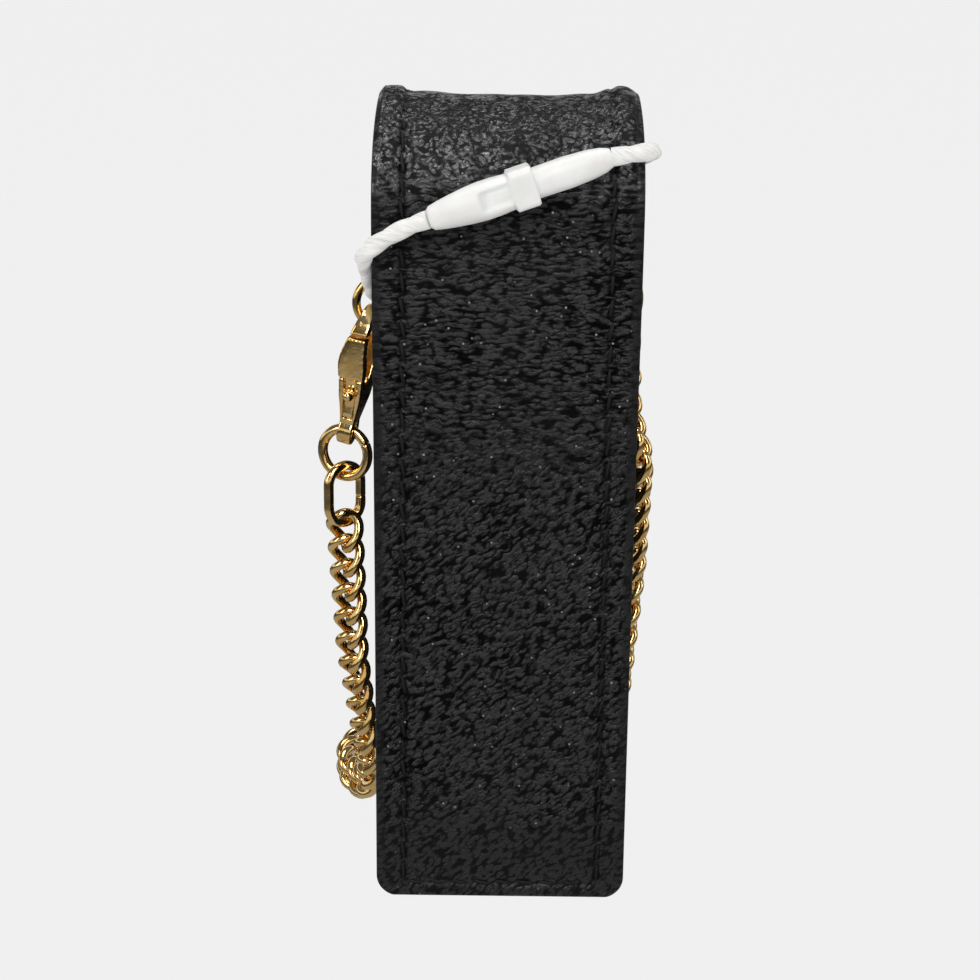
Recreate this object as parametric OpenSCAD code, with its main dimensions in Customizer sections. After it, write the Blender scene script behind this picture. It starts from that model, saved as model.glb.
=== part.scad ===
// A slim upright leather case with a wrist chain.
// Millimetres. Z is up, X runs across the case, and the flap closes on the +Y face.
// The origin is the centre of the footprint, on the surface that the case stands on.

/* [Case] */
// Width across the panels
case_w = 30; // [27:0.5:36]
// Depth from the back face to the face of the flap
case_d = 24; // [22:0.5:30]
// Height from the base to the crest of the bend
case_h = 96; // [90:0.5:110]
// Thickness of the outer leather
leather_t = 1.2; // [1:0.05:1.4]
// Thickness of the lining
lining_t = 0.6; // [0.4:0.05:0.7]
// Height at which the panels' lining starts
lining_h = 0.4; // [0.2:0.1:1]
// Width of the sewn edge beside the gusset wall
side_seam = 3.5; // [3:0.1:4]
// Width of the sewn edge under the gusset floor
base_seam = 2.6; // [2:0.1:4]
// Rounding of the lower corners of the panels
corner_r = 2.6; // [1:0.1:4]
// Rounding of the gusset where its walls turn into its floor
gusset_r = 4; // [2:0.1:6]
// Height of the mouth, where the gusset and the front panel end
mouth_h = 78; // [70:0.5:82]

/* [Flap] */
// Height of the flap's lower edge
flap_edge_h = 45; // [40:0.5:55]
// Rounding of the flap's lower corners
flap_r = 7; // [3:0.5:11]
// Space between the closed flap and the front panel
flap_gap = 1.8; // [1.6:0.1:2.5]
// Angle round the bend, from the back face, at which the flap starts to lift
flap_start = 60; // [50:1:75]

/* [Snap] */
// Diameter of the domed cap
cap_d = 10; // [8:0.5:12]
// Rise of the dome
cap_rise = 1.3; // [0.8:0.1:2]
// Height of the snap above the flap's edge
snap_rise = 9; // [8:0.5:12]
// Diameter of the stud's post
post_d = 3.6; // [3:0.1:4.5]
// Free space round the post in its socket
snap_clear = 0.35; // [0.3:0.05:0.5]

/* [Rings] */
// Thickness of the wire of the D-rings
dee_wire = 1; // [0.8:0.05:1.1]
// Radius of a D-ring's bow, to the middle of the wire
dee_r = 2.9; // [2.8:0.05:3.2]
// Length of a D-ring's arms between the bar and the bow
dee_arm = 1.7; // [1.6:0.1:1.9]
// Height of the D-rings' centres
dee_h = 71.6; // [66:0.2:73]
// Thickness of the wire of the jump rings and the oval ring
ring_wire = 1.2; // [1:0.05:1.3]
// Radius of a jump ring, to the middle of the wire
ring_r = 2.95; // [2.8:0.05:3.3]
// Radius of the oval ring's ends, to the middle of the wire
oval_r = 2.2; // [2:0.05:2.5]
// Length of the oval ring's straight sides
oval_side = 2.7; // [2:0.1:4]

/* [Clasp] */
// Length from the middle of the eye to the top of the hook
clasp_l = 15.4; // [14.6:0.1:16]
// Radius of the hook's outline
hook_r = 3.5; // [3.3:0.05:3.8]
// Width of the metal round the hook
hook_band = 1.15; // [1:0.05:1.3]
// Thickness of the body at its thickest
clasp_t = 2.5; // [2.2:0.1:3]
// Diameter of the rivet that the lever turns on
rivet_d = 0.9; // [0.7:0.05:1]
// Outward lean of the hanging clasp
clasp_lean = 12.5; // [10:0.5:14]

/* [Chain] */
// Distance from one link to the next
link_pitch = 3.45; // [3.3:0.05:3.7]
// Thickness of the link's wire
link_wire = 1.15; // [1.05:0.01:1.2]
// Width of a link, to the middle of the wire
link_w = 3.8; // [3.7:0.05:4.1]
// Twist of each end of a link out of its flat
link_twist = 50; // [47:1:53]
// Free play between one link's bend and the next
link_play = 0.2; // [0.18:0.01:0.26]
// Tightest bend of the chain's line
chain_bend = 11.5; // [11:0.5:14]

/* [Tag] */
// Thickness of the string
string_d = 1.5; // [1.2:0.1:1.6]
// Greatest diameter of the seal's socket half
seal_d = 4.3; // [3.8:0.1:4.6]
// Diameter of the seal's plug half
plug_d = 3.5; // [3:0.1:3.7]

/* [Hidden] */
$fn = 48;
RUN = 0.05;              // running clearance round a bar, pin or wire
EPS = 0.01;

// Case ------------------------------------------------------------------
half_w = case_w / 2;
bend_r = case_d / 2;
bend_h = case_h - bend_r;
shell_t = leather_t + lining_t;
back_in = -bend_r + shell_t;                 // inner face of the back lining
front_out = bend_r - shell_t - flap_gap;     // outer face of the front panel
front_in = front_out - shell_t;              // inner face of the front lining
wall_x = half_w - side_seam;                 // outer face of the gusset's walls
mid_y = (back_in + front_in) / 2;            // middle of the gusset

// Snap ------------------------------------------------------------------
snap_h = flap_edge_h + snap_rise;
socket_t = flap_gap - 0.5;
socket_r = cap_d / 2 - 1;
plate_t = 0.3;
post_r = post_d / 2;

// Rings and clasp -------------------------------------------------------
dee_wr = dee_wire / 2;
ring_wr = ring_wire / 2;
tab_t = 0.7;                                  // leather of the ring tabs
tab_r = dee_wr + RUN + tab_t;
dee_x = wall_x + 1.4;                         // bars of the D-rings
hook_at = 25;                                 // where the hook sits on the left bow
hook_x = -dee_x - dee_arm - dee_r * sin(hook_at);
hook_h = dee_h - dee_r * cos(hook_at);
hook_in_r = hook_r - hook_band;
hook_c = clasp_l - hook_r;                    // centre of the hook's outline
clasp_yaw = -12;
hook_rest = hook_c + hook_in_r - dee_wr - 0.7; // height of the bow's wire in the hook
eye_r = 1.7;
eye_hole_r = ring_wr + 0.35;
eye = [hook_x - hook_rest * sin(clasp_lean), mid_y, hook_h - hook_rest * cos(clasp_lean)];
ring_c = eye + [-0.35, 0.05, -ring_r + 0.05];
ring_yaw = -22;
oval_yaw = 35;
oval_half = oval_r + oval_side / 2;           // centre to the middle of the end wire
oval_c = ring_c + [-0.1, 0, -ring_r + 2 * ring_wr + 0.12 - oval_half];

// The right ring's bow stands back, with its jump ring round it.
right_turn = 54;
right_at = 15;
right_reach = dee_arm + dee_r * sin(right_at);
right_yaw = 105;
right_ring_c = [dee_x + right_reach * cos(right_turn), mid_y + right_reach * sin(right_turn),
                dee_h - dee_r * cos(right_at) + dee_wr + ring_wr + 0.45 - ring_r];

// Chain -----------------------------------------------------------------
link_wr = link_wire / 2;
floor_h = (link_w + link_wire) / 2 + 0.05;    // a link stands on its edge
side_x = half_w + link_wr * 2 + 0.4;          // closest line past a panel's edge
// A ring's wire to the centre of the link in it.
hang = (link_pitch + link_wire + link_play) / 2 - ring_wr - link_wr - 0.2;
link_top_l = oval_c + [0, 0, -oval_half - hang];
link_top_r = right_ring_c + [0, 0.1, -ring_r - hang];
loop_depth = 26;
far_y = bend_r + loop_depth;                  // back of the floor loop
left_turn_h = 26;                             // where the left run turns towards the floor
left_stand = 3.6;                             // its distance from the panels' edge there
left_floor_y = 11;                            // from the gusset's middle to where it lands
loop_out = 8.3;                               // reach of the floor loop past the left edge
loop_back_y = 13.2;                           // from the case's face to that corner
loop_left_in = 6;
loop_right_out = 1;                         // reach of the floor loop past the right edge
lift_in = 1;                                  // where the right run lifts off, inside the right edge
lift_y = 0.5;                                 // and behind the case's face
right_low_h = 35;                             // where the right run passes the front panel
right_low_y = 2.6;
right_high_h = 51;
right_high_y = 5;
right_near_h = 57.5;
right_near_y = 2.6;
// Corners of the chain's line: down the left side, round behind the case, up the right side.
CORNERS = [
    link_top_l,
    [-half_w - left_stand, mid_y + left_stand, left_turn_h],
    [-side_x + 0.2, mid_y + left_floor_y, floor_h],
    [-half_w - loop_out, bend_r + loop_back_y, floor_h],
    [-half_w + loop_left_in, far_y, floor_h],
    [half_w + loop_right_out, far_y - 2.5, floor_h],
    [half_w - lift_in, bend_r + lift_y, floor_h],
    [side_x + 0.1, front_out + right_low_y, right_low_h],
    [side_x + 0.1, mid_y + right_high_y, right_high_h],
    [half_w - 0.2, mid_y + right_near_y, right_near_h],
    link_top_r,
];

// Links face outwards at the top of the left run and turn on edge on the way down.
roll_top = 30;
roll_turn_l = 42;
roll_end = 72;
roll_end_l = 20;

function unit(v) = v / norm(v);
function leg(i) = CORNERS[i + 1] - CORNERS[i];
LEGS = len(CORNERS) - 1;
// Half the turn at each corner, and the length that its round takes from each leg.
function half_turn(i) = (i <= 0 || i >= LEGS) ? 0
    : acos(max(-1, min(1, unit(leg(i - 1)) * unit(leg(i))))) / 2;
function cut(i) = chain_bend * tan(half_turn(i));
function round_l(i) = chain_bend * 2 * half_turn(i) * PI / 180;
function straight_l(i) = norm(leg(i)) - cut(i) - cut(i + 1);
function total_l(i = 0) = i >= LEGS ? 0 : straight_l(i) + round_l(i + 1) + total_l(i + 1);
// [point, direction] at a distance s along the rounded line.
function along(s, i = 0) =
    (i == LEGS - 1 || s <= straight_l(i))
    ? [CORNERS[i] + unit(leg(i)) * (cut(i) + s), unit(leg(i))]
    : s <= straight_l(i) + round_l(i + 1)
    ? on_round(i + 1, (s - straight_l(i)) / chain_bend * 180 / PI)
    : along(s - straight_l(i) - round_l(i + 1), i + 1);
function on_round(i, a) =
    let (t = unit(leg(i - 1)),
         side = unit(unit(leg(i)) - t * (t * unit(leg(i)))),
         start = CORNERS[i] - t * cut(i))
    [start + t * chain_bend * sin(a) + side * chain_bend * (1 - cos(a)), t * cos(a) + side * sin(a)];

CHAIN_L = total_l();
// Links joined one by one, then in twos, down from the left ring, and in twos down from the right ring.
SINGLES = 13;
LEFT_PAIRS = 10;
RIGHT_PAIRS = 9;
LEFT = SINGLES + 2 * LEFT_PAIRS;
LINKS = LEFT + 2 * RIGHT_PAIRS;
open_play = 0.3;                              // between the two links where the loop is left open
step = (CHAIN_L - 2 * link_wire - link_play - open_play) / (LINKS - 1);
link_l = step + link_wire + link_play;        // length of a link, to the middle of the wire
// Heading in plan, taken from the line on the floor and eased to straight back where it is upright.
FLOOR_LEGS = [2, 5];
ease_l = 30;
function plan_angle(v) = atan2(v[1], v[0]);
function length_to(i) = i < 0 ? 0 : straight_l(i) + round_l(i + 1) + length_to(i - 1);
down_s = length_to(FLOOR_LEGS[0] - 1);
up_s = length_to(FLOOR_LEGS[1]) - round_l(FLOOR_LEGS[1] + 1);
function heading(s) =
    s < down_s ? lookup(s, [[0, 90], [down_s, plan_angle(leg(FLOOR_LEGS[0]))]])
    : s > up_s ? lookup(s, [[up_s, plan_angle(leg(FLOOR_LEGS[1]))], [up_s + ease_l, -90]])
    : plan_angle(along(s)[1]);

function link_s(k) = k < LEFT ? k * step : CHAIN_L - (LINKS - 1 - k) * step;
function roll(s) = lookup(s, [[0, roll_top], [roll_turn_l, 90],
                              [CHAIN_L - roll_end_l, 90], [CHAIN_L, roll_end]]);

// Tag -------------------------------------------------------------------
seal_a = [-8.7, -15.2, 84.1];                 // left end of the seal
seal_b = [11.3, -13, 90.8];                   // right end of the seal
seal_l = norm(seal_b - seal_a);
seal_split = 0.56;                            // share of the length that the socket takes
STRING = [
    [-8.7, -15.2, 84.1], [-10.6, -14.8, 83.3], [-12.6, -14.2, 82.2], [-14.5, -13.6, 80.9],
    [-16.2, -12, 79.3], [-16.3, -9.6, 77.5], [-16.2, -7.2, 75.7], [-15.8, -4.8, 74],
    [-15.5, -2.6, 72.9], [-15.5, -0.9, 72.8], [-15.6, 1.2, 73.9], [-15.3, 2.6, 76],
    [-14.3, 3.2, 78.4], [-12.4, 2.8, 80.3], [-9.8, 1.2, 81.3], [-6.4, -1.2, 81.5],
    [-2.4, -3.6, 81.6], [2, -5.2, 82.1], [6.4, -6, 83.4], [10.2, -6.2, 85.2],
    [13.4, -6.3, 87.2], [15.6, -7.2, 88.6], [16.7, -9, 89.8], [16.4, -11.1, 90.7],
    [14.8, -12.5, 91.2], [13, -12.9, 91.1], [11.3, -13, 90.8],
];

// Shared shapes -----------------------------------------------------------

// A flat outline standing in XZ, pushed from y0 to y1.
module upright(y0, y1) translate([0, y1, 0]) rotate([90, 0, 0]) linear_extrude(y1 - y0) children();

// A flat outline in XY, pushed to both sides of it.
module plate(h) translate([0, 0, -h / 2]) linear_extrude(h) children();

// A panel's outline: square at the top and rounded at the lower corners.
module outline(w, z0, z1, r) {
    translate([-w / 2, z0 + r]) square([w, z1 - z0 - r]);
    translate([-w / 2 + r, z0]) square([w - 2 * r, r + EPS]);
    for (x = [-1, 1]) translate([x * (w / 2 - r), z0 + r]) circle(r);
}

// Two circles joined by their tangents.
module taper(p, r, q, s) {
    d = norm(q - p);
    a = acos((r - s) / d);
    b = atan2(q[1] - p[1], q[0] - p[0]);
    translate(p) circle(r);
    translate(q) circle(s);
    polygon([p + r * [cos(b + a), sin(b + a)], q + s * [cos(b + a), sin(b + a)],
             q + s * [cos(b - a), sin(b - a)], p + r * [cos(b - a), sin(b - a)]]);
}

// The bend in YZ between two depths under its outer face, from one angle to another,
// both counted from the back face.
module bend_sector(a0, a1) {
    r = bend_r * 2;
    polygon(concat([[0, 0]], [for (a = [a0:(a1 - a0) / 4:a1 + EPS]) r * [-cos(a), sin(a)]]));
}
module bend_profile(t0, t1, a0, a1) translate([0, bend_h]) intersection() {
    difference() {
        circle(bend_r - t0, $fn = 96);
        circle(bend_r - t1, $fn = 96);
    }
    bend_sector(a0, a1);
}

// A profile drawn in YZ, run across the case.
module across(w) rotate([90, 0, 90]) translate([0, 0, -w / 2]) linear_extrude(w) children();

module panel_back(t0, t1, z0) {
    upright(-bend_r + t0, -bend_r + t1) outline(case_w - 2 * z0, z0, bend_h, corner_r);
    across(case_w) bend_profile(t0, t1, 0, flap_start);
}

module panel_flap(t0, t1) {
    across(case_w) bend_profile(t0, t1, flap_start, 180);
    upright(bend_r - t1, bend_r - t0) outline(case_w, flap_edge_h, bend_h, flap_r);
}

// Case --------------------------------------------------------------------

module back_panel() color("#1c1c1e") panel_back(0, leather_t, 0);

module back_lining() color("#2c2523") panel_back(leather_t, shell_t, lining_h);

module front_panel() color("#1c1c1e")
    upright(front_out - leather_t, front_out) outline(case_w, 0, mouth_h, corner_r);

module front_lining() color("#2c2523")
    upright(front_in, front_in + lining_t) outline(case_w - 2 * lining_h, lining_h, mouth_h, corner_r);

// The gusset is a U-shaped strip whose edges turn out and are sewn between the panels.
module gusset_ring(x_out, r_out, t) difference() {
    outline(2 * x_out, base_seam + wall_x - x_out, mouth_h, r_out);
    outline(2 * (x_out - t), base_seam + wall_x - x_out + t, mouth_h + 1, r_out - t);
}
module gusset() color("#202022") {
    upright(back_in, front_in) gusset_ring(wall_x, gusset_r, leather_t);
    for (y = [[back_in, back_in + leather_t], [front_in - leather_t, front_in]])
        upright(y[0], y[1]) difference() {
            outline(case_w, 0, mouth_h, corner_r);
            outline(2 * wall_x - EPS, base_seam + EPS, mouth_h + 1, gusset_r);
        }
}

module gusset_lining() color("#2c2523")
    upright(back_in, front_in)
        gusset_ring(wall_x - leather_t, gusset_r - leather_t, lining_t);

module flap() color("#1c1c1e") panel_flap(0, leather_t);

module flap_lining() color("#2c2523") panel_flap(leather_t, shell_t);

// Snap --------------------------------------------------------------------

module at_snap(y) translate([0, y, snap_h]) rotate([-90, 0, 0]) children();

module snap_cap() color("#d9b45a") at_snap(bend_r) {
    cylinder(h = 0.4, r = cap_d / 2);
    dome = (pow(cap_d / 2, 2) + pow(cap_rise, 2)) / (2 * cap_rise);
    translate([0, 0, 0.4]) intersection() {
        cylinder(h = cap_rise, r = cap_d / 2);
        translate([0, 0, cap_rise - dome]) sphere(dome, $fn = 96);
    }
}

module snap_socket() color("#c9a552") at_snap(bend_r - shell_t - socket_t) difference() {
    cylinder(h = socket_t, r = socket_r);
    translate([0, 0, -1]) cylinder(h = socket_t + 0.7, r = post_r + snap_clear);
}

module snap_stud() color("#c9a552") at_snap(front_out) {
    cylinder(h = plate_t, r = socket_r);
    cylinder(h = flap_gap - 0.5, r = post_r);
}

module snap_backplate() color("#c9a552") at_snap(front_in - plate_t)
    cylinder(h = plate_t, r = socket_r);

// Rings and their tabs ------------------------------------------------------

// A leather tab folded round the upright bar of a D-ring, on the left wall.
module ring_tab() translate([0, mid_y, dee_h - (dee_r - dee_wr - 0.3)])
    linear_extrude(2 * (dee_r - dee_wr - 0.3)) difference() {
        union() {
            translate([-dee_x, 0]) circle(tab_r);
            translate([-dee_x, -tab_r]) square([dee_x - wall_x, 2 * tab_r]);
        }
        translate([-dee_x, 0]) circle(dee_wr + RUN);
    }
module left_tab() color("#202022") ring_tab();
module right_tab() color("#202022") mirror([1, 0, 0]) ring_tab();

// A D-ring in XZ with its bar on the Z axis and its bow towards +X.
module dee() {
    cylinder(h = 2 * dee_r, r = dee_wr, center = true);
    for (z = [-dee_r, dee_r]) translate([0, 0, z]) {
        sphere(dee_wr);
        rotate([0, 90, 0]) cylinder(h = dee_arm, r = dee_wr);
    }
    translate([dee_arm, 0, 0]) rotate([90, 0, 0]) rotate([0, 0, -90])
        rotate_extrude(angle = 180) translate([dee_r, 0]) circle(dee_wr);
}
module left_d_ring() color("#d9b45a")
    translate([-dee_x, mid_y, dee_h]) rotate([0, 0, 180]) dee();
module right_d_ring() color("#d9b45a")
    translate([dee_x, mid_y, dee_h]) rotate([0, 0, right_turn]) dee();

// A round ring that stands upright in XZ, turned about Z.
module jump_ring(c, yaw) translate(c) rotate([90, 0, yaw])
    rotate_extrude() translate([ring_r, 0]) circle(ring_wr);
module left_jump_ring() color("#d9b45a") jump_ring(ring_c, ring_yaw);
module right_jump_ring() color("#d9b45a") jump_ring(right_ring_c, right_yaw);

module oval_ring() color("#d9b45a") translate(oval_c) rotate([90, 0, oval_yaw]) {
    for (a = [0, 180]) rotate([0, 0, a]) {
        translate([0, oval_side / 2, 0])
            rotate_extrude(angle = 180) translate([oval_r, 0]) circle(ring_wr);
        translate([oval_r, 0, 0]) rotate([90, 0, 0])
            cylinder(h = oval_side, r = ring_wr, center = true);
    }
}

// Clasp -------------------------------------------------------------------
// Drawn in XY with the eye at the origin, the hook towards +Y and the lever on +X.

lever_x = 1;
lever_y = 3.6;
mouth_lo = 6.8;
mouth_hi = hook_c + 0.4;
slot_half = 0.65;
cheek = [0.2, 5.4];

module at_clasp() translate([hook_x, mid_y, hook_h]) rotate([0, clasp_lean, 0])
    rotate([90, 0, clasp_yaw - 90]) translate([0, -hook_rest, 0]) children();

module clasp_plate() {
    plate(6) taper([0, hook_c], hook_r, cheek, 2.6);
    plate(6) taper(cheek, 2.6, [0, 1.2], 1.3);
    plate(6) circle(eye_r);
}
module clasp_opening() taper([0.1, hook_c], hook_in_r, [0.5, 7.3], 1.3);
// Thickness of the body seen on edge.
module clasp_edge() polygon([
    for (s = [1, -1], p = s > 0
        ? [[-eye_r, 0.85], [1.4, 0.85], [4.4, clasp_t / 2], [8.5, clasp_t / 2], [12.3, 0.9], [clasp_l, 0.8]]
        : [[clasp_l, 0.8], [12.3, 0.9], [8.5, clasp_t / 2], [4.4, clasp_t / 2], [1.4, 0.85], [-eye_r, 0.85]])
        [s * p[1], p[0]]]);
module clasp_slab() rotate([0, -90, 0]) translate([0, 0, -6]) linear_extrude(12) clasp_edge();

module clasp_body() color("#dcb65c") at_clasp() difference() {
    intersection() {
        clasp_plate();
        clasp_slab();
    }
    plate(7) clasp_opening();
    plate(7) circle(eye_hole_r);
    plate(7) translate([0.4, mouth_lo]) square([4, mouth_hi - mouth_lo]);
    translate([-0.6, 1.7, -slot_half]) cube([5, 6, 2 * slot_half]);
    translate([lever_x, lever_y, -3]) cylinder(h = 6, r = rivet_d / 2);
}

module clasp_lever() color("#dcb65c") at_clasp() {
    // gate, as thick as the hook
    difference() {
        intersection() {
            clasp_plate();
            clasp_slab();
            plate(6) translate([1.2, mouth_lo + 0.12]) square([3, mouth_hi - mouth_lo]);
            plate(6) translate([lever_x, lever_y]) circle(mouth_hi - lever_y - 0.12, $fn = 96);
        }
        plate(7) clasp_opening();
    }
    // tail in the slot, on the rivet
    difference() {
        translate([0, 0, -slot_half + 0.07]) linear_extrude(2 * slot_half - 0.14) {
            taper([lever_x, lever_y], 1.1, [2.2, mouth_lo + 0.6], 0.75);
            taper([lever_x, lever_y], 1.1, [1.3, 2.5], 0.7);
        }
        translate([lever_x, lever_y, -3]) cylinder(h = 6, r = rivet_d / 2 + RUN);
    }
    // thumb knob
    translate([3.3, 4.9, 0]) sphere(0.58);
    translate([1.6, 4.9, 0]) rotate([0, 90, 0]) cylinder(h = 1.6, r = 0.45);
}

module clasp_rivet() color("#c9a552") at_clasp() translate([lever_x, lever_y, 0])
    cylinder(h = clasp_t - 0.3, r = rivet_d / 2, center = true);

// A bent leaf that pushes the lever's tail back into line.
module clasp_spring() color("#b9b9b9") at_clasp() translate([0, 0, -0.4]) linear_extrude(0.8)
    polygon([[-0.55, 1.95], [-0.38, 1.95], [-0.28, 4.2], [-0.05, 5.6], [0.55, 6.2],
             [0.42, 6.35], [-0.22, 5.72], [-0.45, 4.25]]);

// Seal --------------------------------------------------------------------

module at_seal() {
    d = seal_b - seal_a;
    translate(seal_a) rotate([0, acos(d[2] / seal_l), atan2(d[1], d[0])]) children();
}
module seal_socket() color("#f4f4f2") at_seal() {
    r = seal_d / 2;
    l = seal_l * seal_split;
    rotate_extrude() polygon([[0, 0], [1.05, 0], [1.4, 0.35], [1.75, 3], [r, 0.52 * l], [r, 0.62 * l],
                              [r - 0.5, 0.8 * l], [r - 0.4, l], [0, l]]);
    translate([0, 0, l - 1.6]) cube([2 * r + 0.3, 3.7, 2.8], center = true);
}
module seal_plug() color("#f4f4f2") at_seal() {
    r = plug_d / 2;
    l0 = seal_l * seal_split;
    rotate_extrude() polygon([[0, l0], [r, l0], [r + 0.03, seal_l - 5], [r - 0.35, seal_l - 1.2],
                              [r - 0.65, seal_l - 0.3], [r - 0.95, seal_l], [0, seal_l]]);
}

// String: one tube swept along its points -----------------------------------

function string_at(u) =
    let (n = len(STRING), i = min(n - 2, floor(u)), f = u - i,
         a = STRING[max(0, i - 1)], b = STRING[i], c = STRING[i + 1], d = STRING[min(n - 1, i + 2)])
    b + f * 0.5 * (c - a) + f * f * (a - 2.5 * b + 2 * c - 0.5 * d)
      + f * f * f * (-0.5 * a + 1.5 * b - 1.5 * c + 0.5 * d);
STRING_RINGS = 60;
STRING_SIDES = 8;
module tag_string() color("#f0f0ee") {
    last = len(STRING) - 1;
    pts = [for (k = [0:STRING_RINGS]) string_at(last * k / STRING_RINGS)];
    dirs = [for (k = [0:STRING_RINGS])
        k == 0 || k == STRING_RINGS ? unit(seal_b - seal_a) * -1 : unit(pts[k + 1] - pts[k - 1])];
    sides = frames(dirs, unit(cross(dirs[0], [0, 1, 0])), 0);
    polyhedron(
        points = [for (k = [0:STRING_RINGS], j = [0:STRING_SIDES - 1])
            let (a = 360 * (j + 0.5) / STRING_SIDES)
            pts[k] + string_d / 2 * (cos(a) * sides[k] + sin(a) * cross(dirs[k], sides[k]))],
        faces = tube_faces(STRING_RINGS, STRING_SIDES, false));
}
// Side vectors carried along the tube without twist.
function frames(dirs, side, k) = k >= len(dirs) ? []
    : let (s = unit(side - dirs[k] * (dirs[k] * side))) concat([s], frames(dirs, s, k + 1));
// Faces of a tube of rings 0 to n, closed on itself or capped.
function tube_faces(n, m, closed) = concat(
    [for (k = [0:n - 1], j = [0:m - 1])
        let (a = k * m + j, b = k * m + (j + 1) % m, up = closed ? ((k + 1) % n) * m : (k + 1) * m)
        each [[a, up + j, b], [b, up + j, up + (j + 1) % m]]],
    closed ? [] : [[for (j = [0:m - 1]) j], [for (j = [m - 1:-1:0]) n * m + j]]);

// Chain -------------------------------------------------------------------
// A link is a wire loop drawn along Z, flat in XZ, with its ends twisted apart.

LINK_RINGS = 14;
LINK_SIDES = 8;
function loop_at(t) =
    let (z = cos(t), a = -link_twist * z, r = link_w / 2 * sin(t))
    [r * cos(a), r * sin(a), link_l / 2 * z];
module link() {
    polyhedron(
        points = [for (k = [0:LINK_RINGS - 1], j = [0:LINK_SIDES - 1])
            let (t = 360 * k / LINK_RINGS, c = loop_at(t), d = unit(loop_at(t + 0.1) - loop_at(t - 0.1)),
                 out = unit(c - d * (d * c)), a = 360 * (j + 0.5) / LINK_SIDES)
            c + link_wr * (cos(a) * out + sin(a) * cross(d, out))],
        faces = tube_faces(LINK_RINGS, LINK_SIDES, true));
}
// Link k in its place: Z along the line, X across the link's flat.
module placed_link(k) {
    s = link_s(k);
    pd = along(s);
    d = pd[1];
    h = heading(s);
    flat = [sin(h), -cos(h), 0];
    w0 = unit(flat - d * (d * flat));
    n0 = cross(d, w0);
    w = cos(roll(s)) * w0 + sin(roll(s)) * n0;
    n = cross(d, w);
    multmatrix([[w[0], n[0], d[0], pd[0][0]], [w[1], n[1], d[1], pd[0][1]],
                [w[2], n[2], d[2], pd[0][2]]]) link();
}
module single(k) color("#dcb65c") placed_link(k);
module pair(k) color("#dcb65c") {
    placed_link(k);
    placed_link(k + 1);
}

back_panel();
back_lining();
front_panel();
front_lining();
gusset();
gusset_lining();
flap();
flap_lining();
snap_cap();
snap_socket();
snap_stud();
snap_backplate();
left_tab();
right_tab();
left_d_ring();
right_d_ring();
clasp_body();
clasp_lever();
clasp_rivet();
clasp_spring();
left_jump_ring();
oval_ring();
right_jump_ring();
seal_socket();
seal_plug();
tag_string();
for (k = [1:SINGLES])
    single(k - 1);
for (k = [1:LEFT_PAIRS])
    pair(SINGLES + 2 * (k - 1));
for (k = [1:RIGHT_PAIRS])
    pair(LINKS - 2 * k);
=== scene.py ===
import math

import bmesh
import bpy
import numpy as np
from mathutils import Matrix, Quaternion, Vector


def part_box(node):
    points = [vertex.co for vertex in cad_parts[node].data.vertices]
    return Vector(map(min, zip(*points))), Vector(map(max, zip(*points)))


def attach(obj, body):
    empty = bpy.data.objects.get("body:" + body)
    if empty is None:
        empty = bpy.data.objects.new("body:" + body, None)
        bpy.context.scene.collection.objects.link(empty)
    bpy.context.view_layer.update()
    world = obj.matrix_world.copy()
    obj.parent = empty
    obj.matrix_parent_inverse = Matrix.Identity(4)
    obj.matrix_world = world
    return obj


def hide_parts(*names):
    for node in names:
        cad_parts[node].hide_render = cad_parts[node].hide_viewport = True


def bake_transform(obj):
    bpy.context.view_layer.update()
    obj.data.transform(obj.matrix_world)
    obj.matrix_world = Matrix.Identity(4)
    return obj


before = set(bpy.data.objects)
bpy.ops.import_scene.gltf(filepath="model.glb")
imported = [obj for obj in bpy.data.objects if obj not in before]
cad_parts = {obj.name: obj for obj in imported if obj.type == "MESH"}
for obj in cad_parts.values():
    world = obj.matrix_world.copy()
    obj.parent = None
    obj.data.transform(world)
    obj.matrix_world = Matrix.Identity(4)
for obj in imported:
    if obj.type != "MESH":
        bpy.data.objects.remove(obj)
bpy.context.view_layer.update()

# The case stands on z = 0. X runs across its panels, the back panel faces -Y and the flap closes on +Y.
MM = 0.001
TAU = 2 * math.pi


def size(node):
    """Lowest and highest corner of a CAD node, in millimetres."""
    low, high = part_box(node)
    return np.array(low) / MM, np.array(high) / MM


# ---------------------------------------------------------------- camera
scene = bpy.context.scene
scene.view_settings.view_transform = "Standard"
camera = bpy.data.objects.new("camera", bpy.data.cameras.new("camera"))
scene.collection.objects.link(camera)
scene.camera = camera
CAMERA_AT = Vector((0.0, -0.25678, 0.13143))
CAMERA_AIM = Vector((0.0, 0.0, 0.048))
CAMERA_ROLL = math.radians(0.7)
camera.location = CAMERA_AT
upright = (CAMERA_AIM - CAMERA_AT).to_track_quat("-Z", "Y")
camera.rotation_euler = (upright @ Quaternion((0, 0, 1), CAMERA_ROLL)).to_euler()
camera.data.sensor_width = 36
camera.data.lens = 82.4
camera.data.shift_x = -0.0148
camera.data.shift_y = 0.0025
camera.data.clip_start = 0.01


# ---------------------------------------------------------------- small tools
def unit(v):
    """Rows of v at length one."""
    return v / np.linalg.norm(v, axis=-1, keepdims=True)


def smooth(a, b, x):
    """0 below a, 1 above b, and 3t^2 - 2t^3 between."""
    t = np.clip((x - a) / (b - a), 0, 1)
    return t * t * (3 - 2 * t)


def bell(x, width):
    """exp of minus the square of x over width."""
    return np.exp(-((x / width) ** 2))


def lattice(seed):
    """A square of random heights from -1 to 1, the same for each seed."""
    return np.random.default_rng(seed).uniform(-1, 1, (128, 128))


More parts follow.
